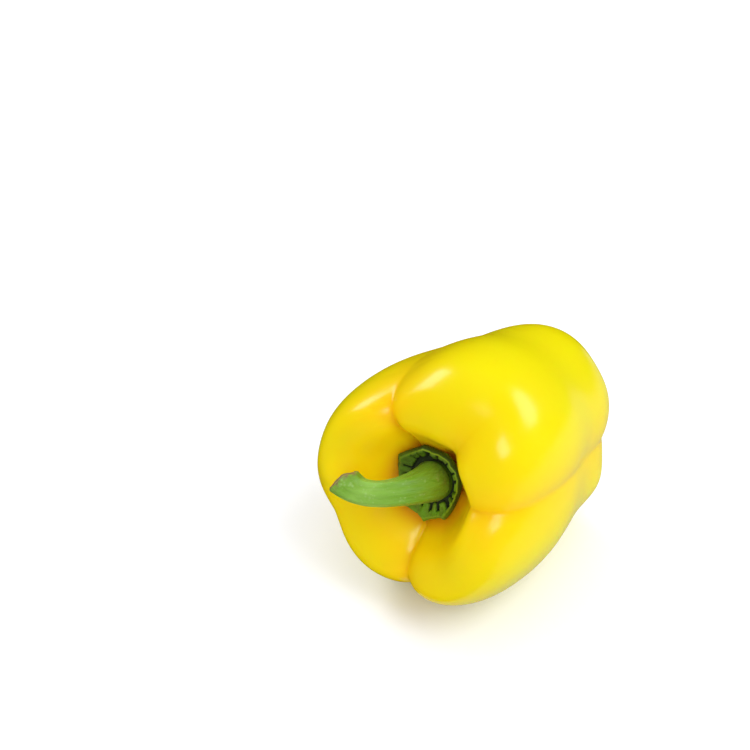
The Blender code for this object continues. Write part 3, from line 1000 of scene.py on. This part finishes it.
@dataclass
class Calyx(GrownPiece):
    """The calyx: a leathery disc round the stem's root, with a trough, crinkles and a thin rim."""

    name: str = "calyx_leaf"
    node: str = "calyx"
    segments: int = 480
    rings: int = 150
    fruit: Fruit = field(default_factory=Fruit)
    middle: tuple[float, float] = (1.2, 2.2)
    lean_angle: float = 50.0
    shade_angle: float = 140.0
    thickness: float = 1.1
    edge_thickness: float = 0.6
    seat_radius: float = 6.3
    seat_height: float = 32.0
    seat_rows: float = 0.12
    seat_slope: float = 0.06
    side_power: float = 0.8
    flesh: Range = (1.0, 1.2)
    rim_height: Range = (0.4, 1.8)
    rim_place: float = 0.8
    rim_width: float = 0.12
    skirt_drop: Range = (1.2, 1.3)
    skirt_start: float = 0.84
    edge_rounding: float = 5.0
    trough_floor: float = 0.55
    flesh_span: Range = (0.0, 0.7)
    upper_start: Range = (0.03, 0.07)
    trough_end: Range = (0.68, 0.76)
    tip_reach: Range = (0.16, 0.3)
    gap_reach: Range = (0.2, 0.4)
    rim_highlight_place: float = 0.82
    rim_highlight_width: float = 0.035
    rim_highlight_share: Range = (0.25, 0.75)
    rim_highlight_rise: Range = (0.3, 0.8)
    skirt_shade_edge: Range = (0.85, 0.9)
    skirt_shade_rise: Range = (0.2, 0.7)
    fingers: int = 17
    gap: float = 0.05
    corners: tuple[Corner, ...] = (
        Corner(-168, 13.2, 1.0),
        Corner(-128, 15.8, 1.4),
        Corner(-92, 15.2, 1.2),
        Corner(-60, 13.4, 0.8),
        Corner(-15, 9.9, 0.6),
        Corner(39, 11.4, 0.5),
        Corner(72, 12.2, 1.3),
        Corner(115, 12.7, 1.1),
        Corner(159, 14.5, 0.3),
    )

    def edge(self, angle: np.ndarray) -> np.ndarray:
        """The outline: corners with hollow sides between them.

        Args:
            angle: Degrees round the calyx's middle.

        Returns:
            The outer radius.
        """
        turns = [corner.angle for corner in self.corners]
        turns = np.array([turns[-1] - 360, *turns, turns[0] + 360])
        reach = [corner.radius for corner in self.corners]
        reach = np.array([reach[-1], *reach, reach[0]])
        after = np.clip(np.searchsorted(turns, angle, side="right"), 1, len(turns) - 1)
        share = (angle - turns[after - 1]) / (turns[after] - turns[after - 1])
        hollow = np.array([self.corners[k - 2].hollow for k in after])
        return np.interp(angle, turns, reach) - hollow * np.sin(np.pi * share) ** self.side_power

    def ring(self, along: np.ndarray) -> np.ndarray:
        """How far out a point lies, from 0 at the seat to 1 at the edge."""
        share = 1 - np.abs(2 * along - 1)
        return np.clip((share - self.seat_rows) / (1 - self.seat_rows), 0, 1)

    def rise(self, angle: np.ndarray) -> np.ndarray:
        """From 0 where the calyx lies flat to 1 where its rim stands highest."""
        return 0.5 + 0.5 * np.cos(np.radians(angle - self.lean_angle))

    def stand(self, ring: np.ndarray, angle: np.ndarray) -> np.ndarray:
        """Thickness out to the rim and down the skirt, as it would be without the trough.

        Args:
            ring: Place from 0 at the seat to 1 at the edge.
            angle: Degrees round the calyx's middle.

        Returns:
            The thickness at each place.
        """
        rise = self.rise(angle)
        flesh = self.flesh[0] + self.flesh[1] * rise
        thick = self.thickness + flesh * smooth(ring, *self.flesh_span)
        rim = self.rim_height[0] + self.rim_height[1] * rise**2
        thick += rim * hill(ring, self.rim_place, self.rim_width)
        thick -= (self.skirt_drop[0] + self.skirt_drop[1] * rise) * smooth(ring, self.skirt_start, 1.0)
        rounded = self.edge_rounding * np.sqrt(np.clip(1 - ring, 0, None))
        return np.minimum(thick, self.edge_thickness + rounded)

    def places(self, angle: np.ndarray, along: np.ndarray) -> np.ndarray:
        """The sphere's top half is the upper face, and its lower half follows the pit.

        Args:
            angle: Degrees round the sphere that the piece starts as.
            along: Place on it, from 0 at its top to 1 at its bottom.

        Returns:
            The points' places, in millimetres.
        """
        ring = self.ring(along)
        share = np.clip((1 - np.abs(2 * along - 1)) / self.seat_rows, 0, 1)
        radius = self.seat_radius * share + (self.edge(angle) - self.seat_radius) * ring
        places = round_the_axis(radius, 0 * radius, angle) + (*self.middle, 0)
        from_axis = np.hypot(places[:, 0], places[:, 1])
        bottom = self.gap + self.fruit.floor(from_axis, np.degrees(np.arctan2(places[:, 1], places[:, 0])))
        outer = bottom + self.stand(ring, angle)
        top = self.seat_height + (outer - self.seat_height) * np.clip(ring / self.seat_slope, 0, 1)
        places[:, 2] = np.where(along <= 0.5, top, bottom)
        return places

    def marks(self, angle: np.ndarray, along: np.ndarray) -> dict[str, np.ndarray]:
        """Where the upper face lies, how deep the trough may go, where fingers begin, and where the
        painted highlight on the rim and the painted shade on the skirt and on one side go.

        Args:
            angle: Degrees round the sphere that the piece starts as.
            along: Place on it, from 0 at its top to 1 at its bottom.

        Returns:
            Each mark's name and its values.
        """
        ring = self.ring(along)
        rise = self.rise(angle)
        upper = (along <= 0.5) * smooth(ring, *self.upper_start)
        turn = np.radians(angle)
        depth = self.stand(ring, angle) - self.trough_floor
        # painted highlight along the rim's crest, stronger where the rim stands higher
        light = upper * hill(ring, self.rim_highlight_place, self.rim_highlight_width)
        share = self.rim_highlight_share[0] + self.rim_highlight_share[1] * smooth(rise, *self.rim_highlight_rise)
        return {
            "upper": upper,
            "trough_depth": upper * depth * (1 - smooth(ring, *self.trough_end)),
            "tips": self.tip_reach[0] + self.tip_reach[1] * rise,
            "gaps": self.gap_reach[0] + self.gap_reach[1] * rise,
            # painted highlight along the rim
            "rim": light * share,
            # painted shade on the outer skirt
            "skirt": upper * smooth(ring, *self.skirt_shade_edge) * smooth(rise, *self.skirt_shade_rise),
            "shade": 0.5 + 0.5 * np.cos(np.radians(angle - self.shade_angle)),
            "lay": np.column_stack((np.cos(turn), np.sin(turn), ring)),
        }

    def relief(self) -> ReliefTree:
        """Fleshy fingers that reach in from the rim over a trough, each of its own length.

        Returns:
            The tree.
        """
        sizes = {"Fingers": float(self.fingers), "Finger Width": 0.74, "Narrowest": 0.7,
                 "Widest": 1.25, "Wander": 0.55, "Wander Scale": 2.6, "Jitter": 0.1,
                 "Tip Jitter": 0.08, "Jitter Scale": 260.0, "Uneven": 0.22, "Round": 0.1,
                 "Gap Start": 0.98, "Tip Inside": 0.02, "Tip Outside": 0.05, "Dome": 0.0004,
                 "Lump Height": 0.0013, "Lump Scale": 360.0, "Seed": 11.0}
        tree = ReliefTree("calyx_fingers", sizes)
        g, given = tree.graph, tree.given
        where = g.add("GeometryNodeInputPosition").outputs[0]
        lay = g.add("ShaderNodeSeparateXYZ", {0: tree.lay()}).outputs
        flat = g.add("ShaderNodeCombineXYZ", {"X": lay["X"], "Y": lay["Y"]}).outputs[0]
        turn = g.math("ARCTAN2", lay["Y"], lay["X"])
        drift = g.math("SUBTRACT", g.noise(flat, given["Wander Scale"], 1.0, given["Seed"]), 0.5)
        jitter = g.math("SUBTRACT", g.noise(where, given["Jitter Scale"], 2.0, given["Seed"]), 0.5)
        warped = g.math("MULTIPLY_ADD", drift, given["Wander"], turn)
        warped = g.math("MULTIPLY_ADD", jitter, given["Jitter"], warped)
        phase = g.math("MULTIPLY", warped, g.math("DIVIDE", given["Fingers"], math.tau))
        cell = g.math("FLOOR", phase)
        chance = g.add("ShaderNodeTexWhiteNoise", {"W": cell}, noise_dimensions="1D").outputs["Value"]
        off = g.math("MULTIPLY_ADD", g.math("FRACT", phase), 2.0, -1.0)
        spread = g.span(chance, 0.0, 1.0, given["Narrowest"], given["Widest"])
        width = g.math("MULTIPLY", given["Finger Width"], spread)
        across = g.math("MINIMUM", g.math("ABSOLUTE", g.math("DIVIDE", off, width)), 1.0)
        cap = g.math("SQRT", g.math("SUBTRACT", 1.0, g.math("MULTIPLY", across, across)))
        longer = g.math("MULTIPLY", g.math("SUBTRACT", chance, 0.5), given["Uneven"])
        blunt = g.math("MULTIPLY", g.math("SUBTRACT", 1.0, cap), given["Round"])
        tip = g.math("ADD", g.math("ADD", tree.mark("tips"), longer), blunt)
        between = g.math("GREATER_THAN", across, given["Gap Start"])
        tip = g.math("ADD", tip, g.math("MULTIPLY", between, tree.mark("gaps")))
        tip = g.math("MULTIPLY_ADD", jitter, given["Tip Jitter"], tip)
        inside = g.math("SUBTRACT", tip, given["Tip Inside"])
        finger = g.span(lay["Z"], inside, g.math("ADD", tip, given["Tip Outside"]))
        open_share = g.math("SUBTRACT", 1.0, finger)
        sunk = g.math("MULTIPLY", tree.mark("trough_depth"), open_share)
        dome = g.math("MULTIPLY", g.math("MULTIPLY", cap, finger), given["Dome"])
        lump = g.math("SUBTRACT", g.noise(where, given["Lump Scale"], 2.0, given["Seed"]), 0.5)
        rough = g.math("MULTIPLY_ADD", lump, given["Lump Height"], dome)
        raised = g.math("MULTIPLY", rough, tree.mark("upper"))
        up = g.add("ShaderNodeCombineXYZ", {"Z": 1.0}).outputs[0]
        # how deep the trough is sunk, for the finish's painted shade
        tree.keep("trough", g.math("MINIMUM", sunk, 1.0))
        tree.close(g.math("MULTIPLY_ADD", sunk, -MM, raised), up)
        return tree

    def finish(self, effects: Effects) -> bpy.types.Material:
        """Leathery green."""
        return CalyxFinish(effects=effects).make()


@dataclass
class Stem(GrownPiece):
    """The stem: a ribbed stalk swept along its path, dished where it was cut."""

    name: str = "stem_stalk"
    node: str = "stem"
    segments: int = 168
    rings: int = 240
    root_height: float = 32.1
    ribs: int = 7
    fold_back: float = 0.42
    fold_angle: float = 63.0
    fold_start: float = 0.6
    lip_start: float = 0.95
    lip_rounding: float = 0.14
    fold_reach: Range = (0.1, 1.0)
    rib_growth: float = 4.0
    rib_loss: float = 0.75
    rib_end: Range = (0.8, 1.0)
    fibre_squash: float = 0.3
    streak_length: float = 6.0
    cap: float = 0.12
    dish: float = 0.9
    stations: tuple[StemStation, ...] = (
        StemStation((1.25, 2.7, 0.0), 6.9),
        StemStation((1.1, 3.0, 4.6), 6.2),
        StemStation((-0.3, 2.8, 10.5), 5.1),
        StemStation((-4.3, 1.7, 16.2), 4.3),
        StemStation((-9.5, 0.1, 18.6), 4.0),
        StemStation((-14.5, -0.5, 19.6), 4.2),
        StemStation((-18.6, 0.6, 20.4), 4.9),
        StemStation((-21.9, 2.8, 21.3), 5.7),
    )

    def run(self, along: np.ndarray) -> np.ndarray:
        """How far along the stalk a point lies, from 0 at the root to 1 at the cut."""
        return np.clip((along - self.cap) / (1 - 2 * self.cap), 0, 1)

    def sweep(self, run: np.ndarray) -> tuple[np.ndarray, ...]:
        """The stalk's path.

        Args:
            run: Place along the stalk, from 0 at the root to 1 at the cut.

        Returns:
            Its middle, its heading, two directions across it and its radius.
        """
        stations = [self.stations[0], *self.stations, self.stations[-1]]
        lines = [spline([station.middle[k] for station in stations], run) for k in range(3)]
        middle = np.column_stack([value for value, _ in lines])
        heading = np.column_stack([slope for _, slope in lines])
        heading /= np.linalg.norm(heading, axis=1, keepdims=True)
        side = np.cross(heading, (0, 1, 0))
        side /= np.linalg.norm(side, axis=1, keepdims=True)
        radius, _ = spline([station.radius for station in stations], run)
        return middle, heading, side, np.cross(side, heading), radius

    def places(self, angle: np.ndarray, along: np.ndarray) -> np.ndarray:
        """The stalk's points, with a flat root and a dished cut that is folded back.

        Args:
            angle: Degrees round the sphere that the piece starts as.
            along: Place on it, from 0 at its top to 1 at its bottom.

        Returns:
            Their places, in millimetres.
        """
        run = self.run(along)
        middle, heading, side, over, radius = self.sweep(run)
        turn = np.radians(angle)
        inward = np.clip(np.minimum(along, 1 - along) / self.cap, 0, 1)
        lip = 1 - self.lip_rounding * smooth(run, self.lip_start, 1.0) ** 2
        radius = radius * inward * lip
        across = (radius * np.cos(turn))[:, None] * side + (radius * np.sin(turn))[:, None] * over
        upper = smooth(np.cos(turn - math.radians(self.fold_angle)), *self.fold_reach)
        slant = self.fold_back * smooth(run, self.fold_start, 1.0) * radius * upper
        hollow = self.dish * (1 - inward**2) * (along > 0.5)
        points = middle + across - (slant + hollow)[:, None] * heading
        points[:, 2] = np.maximum(points[:, 2], 0) * (run > 0) + self.root_height
        return points

    def marks(self, angle: np.ndarray, along: np.ndarray) -> dict[str, np.ndarray]:
        """How far along the stalk the points lie, and where the cut face and its corky ring are.

        Args:
            angle: Degrees round the sphere that the piece starts as.
            along: Place on it, from 0 at its top to 1 at its bottom.

        Returns:
            Each mark's name and its values.
        """
        run = self.run(along)
        turn = np.radians(angle)
        inward = np.clip((1 - along) / self.cap, 0, 1)
        face = (along > 0.5) & (inward < 1)
        ribbed = np.clip(self.rib_growth * run, 0, 1)
        return {
            "run": run,
            "side": ribbed * (1 - self.rib_loss * smooth(run, *self.rib_end)) * (inward >= 1),
            "face": face * 1.0,
            "heart": face * (1 - inward),
            "lay": np.column_stack((np.cos(turn), np.sin(turn), self.streak_length * run)),
        }

    def relief(self) -> ReliefTree:
        """Ribs that run the length of the stalk, and finer fibres between them.

        Returns:
            The tree.
        """
        sizes = {"Ribs": float(self.ribs), "Rib Height": 0.00025, "Fibre Height": 0.00016,
                 "Fibre Scale": 3.2, "Seed": 5.0}
        tree = ReliefTree("stem_ribs", sizes)
        g, given = tree.graph, tree.given
        lay = tree.lay()
        parts = g.add("ShaderNodeSeparateXYZ", {0: lay}).outputs
        turn = g.math("ARCTAN2", parts["Y"], parts["X"])
        wave = g.math("COSINE", g.math("MULTIPLY", turn, given["Ribs"]))
        drawn = g.vector_math("MULTIPLY", {0: lay, 1: (1.0, 1.0, self.fibre_squash)})
        fibre = g.math("SUBTRACT", g.noise(drawn, given["Fibre Scale"], 3.0, given["Seed"]), 0.5)
        ribs = g.math("MULTIPLY", wave, given["Rib Height"])
        height = g.math("MULTIPLY_ADD", fibre, g.math("MULTIPLY", given["Fibre Height"], 2.0), ribs)
        tree.close(g.math("MULTIPLY", height, tree.mark("side")))
        return tree

    def finish(self, effects: Effects) -> bpy.types.Material:
        """Fresh green."""
        return StemFinish(effects=effects).make()


class LampShape(Enum):
    """Outline of a soft lamp."""

    RECTANGLE = "RECTANGLE"
    ELLIPSE = "ELLIPSE"


@dataclass(frozen=True)
class SoftLamp:
    """A soft studio lamp that looks at the pepper.

    Args:
        name: The lamp's name.
        azimuth: Degrees from -Y towards +X, as for the camera.
        elevation: Degrees above the level.
        distance: Metres from the pepper.
        width: Metres across.
        height: Metres up and down.
        power: Watts.
        shape: Its outline.
        mirrored: Whether glossy surfaces show it.
    """

    name: str
    azimuth: float
    elevation: float
    distance: float
    width: float
    height: float
    power: float
    shape: LampShape = LampShape.RECTANGLE
    mirrored: bool = True

    def hang(self, target: Vector) -> None:
        """Put the lamp in the scene.

        Args:
            target: The place that it looks at.
        """
        lamp = bpy.data.lights.new(self.name, "AREA")
        lamp.shape = self.shape.value
        lamp.size = self.width
        lamp.size_y = self.height
        lamp.energy = self.power
        obj = bpy.data.objects.new(self.name, lamp)
        away = direction(self.azimuth, self.elevation)
        obj.location = target + away * self.distance
        obj.rotation_euler = away.to_track_quat("Z", "Y").to_euler()
        obj.visible_glossy = self.mirrored
        bpy.context.scene.collection.objects.link(obj)


def direction(azimuth: float, elevation: float) -> Vector:
    """Unit vector from the pepper towards a viewer at that azimuth and elevation, in degrees."""
    a, e = math.radians(azimuth), math.radians(elevation)
    return Vector((math.sin(a) * math.cos(e), -math.cos(a) * math.cos(e), math.sin(e)))


def plain_finish(name: str, looks: dict[str, Any]) -> bpy.types.Material:
    """A finish that is the same all over.

    Args:
        name: The material's name.
        looks: What the shader's sockets are set to.

    Returns:
        The material.
    """
    material = bpy.data.materials.new(name)
    material.use_nodes = True
    shader = material.node_tree.nodes["Principled BSDF"]
    for socket, value in looks.items():
        shader.inputs[socket].default_value = value
    return material


def level_sheet(name: str, box: Box, height: float, finish: bpy.types.Material) -> bpy.types.Object:
    """A level sheet, in the scene.

    Args:
        name: The sheet's name.
        box: Its least and greatest X, then its least and greatest Y.
        height: How high it lies.
        finish: Its material.

    Returns:
        The sheet.
    """
    left, right, front, back = box
    corners = [(left, front), (right, front), (right, back), (left, back)]
    mesh = bpy.data.meshes.new(name)
    mesh.from_pydata([(*corner, height) for corner in corners], [], [(0, 1, 2, 3)])
    mesh.materials.append(finish)
    sheet = bpy.data.objects.new(name, mesh)
    bpy.context.scene.collection.objects.link(sheet)
    return sheet


@dataclass
class Studio:
    """A plain pale floor, soft white light and the lamps whose reflections lie on the skin."""

    sky: float = 0.81
    lamp_aim: float = 0.045
    floor_size: float = 30.0
    floor_white: tuple[float, ...] = (0.9, 0.91, 0.99, 1.0)
    card: Box = (0.0, 0.25, -0.05, 0.3)
    card_height: float = 0.0002
    card_glow: float = 0.35
    lamps: tuple[SoftLamp, ...] = (
        SoftLamp("left_box", -110, 38, 3.25, 1.88, 1.2, 36.2),
        SoftLamp("back_box", 149, 27, 3.25, 1.12, 1.25, 11.9, LampShape.ELLIPSE),
        SoftLamp("right_box", 74, 54, 3.25, 1.25, 1.9, 35.6),
        SoftLamp("front_fill", 34, 34, 4.0, 3.0, 3.0, 30.0, mirrored=False),
        SoftLamp("rim_box", 134, 12, 3.25, 1.5, 1.25, 22.5, mirrored=False),
    )

    def light(self) -> None:
        """White surroundings and the lamps."""
        world = bpy.data.worlds.new("white_surroundings")
        world.use_nodes = True
        world.cycles_visibility.glossy = False
        background = world.node_tree.nodes["Background"]
        background.inputs["Color"].default_value = (1.0, 1.0, 1.0, 1.0)
        background.inputs["Strength"].default_value = self.sky
        bpy.context.scene.world = world
        for lamp in self.lamps:
            lamp.hang(Vector((0, 0, self.lamp_aim)))

    def lay_floor(self) -> None:
        """A wide white floor at z = 0, which the skin doesn't mirror."""
        half = self.floor_size / 2
        looks = {"Base Color": self.floor_white, "Roughness": 0.7, "Specular IOR Level": 0.1}
        white = plain_finish("white_floor", looks)
        floor = level_sheet("floor", (-half, half, -half, half), 0.0, white)
        floor.visible_glossy = False

    def lay_card(self) -> None:
        """A pale card on the floor at the right rear, which only the skin's gloss mirrors."""
        looks = {"Base Color": (0.0, 0.0, 0.0, 1.0), "Emission Color": (1.0, 1.0, 1.0, 1.0),
                 "Emission Strength": self.card_glow}
        glow = plain_finish("pale_card", looks)
        card = level_sheet("pale_card", self.card, self.card_height, glow)
        card.visible_camera = False
        card.visible_diffuse = False
        card.visible_transmission = False
        card.visible_shadow = False


@dataclass
class Portrait:
    """The camera, placed so that the middle of the pit falls where the photograph shows it."""

    azimuth: float = 31.3
    elevation: float = 38.0
    lens: float = 85.0
    film: float = 36.0
    frame_pixels: float = 750.0
    pixels_per_mm: float = 3.055
    pit_pixel: tuple[float, float] = (432.0, 484.0)

    def set_up(self, pit: Vector) -> None:
        """Make the camera and aim it.

        Args:
            pit: The middle of the pit's floor in the model's frame.
        """
        back = direction(self.azimuth, self.elevation)
        right = Vector((math.cos(math.radians(self.azimuth)), math.sin(math.radians(self.azimuth)), 0))
        up = back.cross(right)
        focal = self.frame_pixels * self.lens / self.film
        depth = focal / self.pixels_per_mm * MM
        across = (self.pit_pixel[0] - self.frame_pixels / 2) / focal
        rise = (self.frame_pixels / 2 - self.pit_pixel[1]) / focal
        camera = bpy.data.cameras.new("portrait")
        camera.lens = self.lens
        camera.sensor_width = self.film
        camera.clip_start = 0.01
        obj = bpy.data.objects.new("portrait", camera)
        stand = Matrix((right, up, back)).transposed().to_4x4()
        stand.translation = pit - depth * (across * right + rise * up - back)
        obj.matrix_world = stand
        bpy.context.scene.collection.objects.link(obj)
        bpy.context.scene.camera = obj


def main() -> None:
    """Build the studio, the camera and the pepper's pieces in order."""
    logging.basicConfig(level=logging.INFO, format="%(name)s: %(message)s")
    bpy.context.scene.view_settings.view_transform = "Standard"
    effects = Effects()
    fruit = Fruit()
    lay = fruit.set_down(tilt=18.0)
    skin = fruit.make(effects)
    fruit.settle(skin, lay)
    fruit.rest(skin)
    for piece in (Calyx(fruit=fruit), Stem()):
        piece.settle(piece.make(effects), lay)
    studio = Studio()
    studio.light()
    studio.lay_floor()
    studio.lay_card()
    Portrait().set_up(lay @ Vector((0, 0, fruit.pit_height * MM)))


if __name__ == "__main__":
    main()
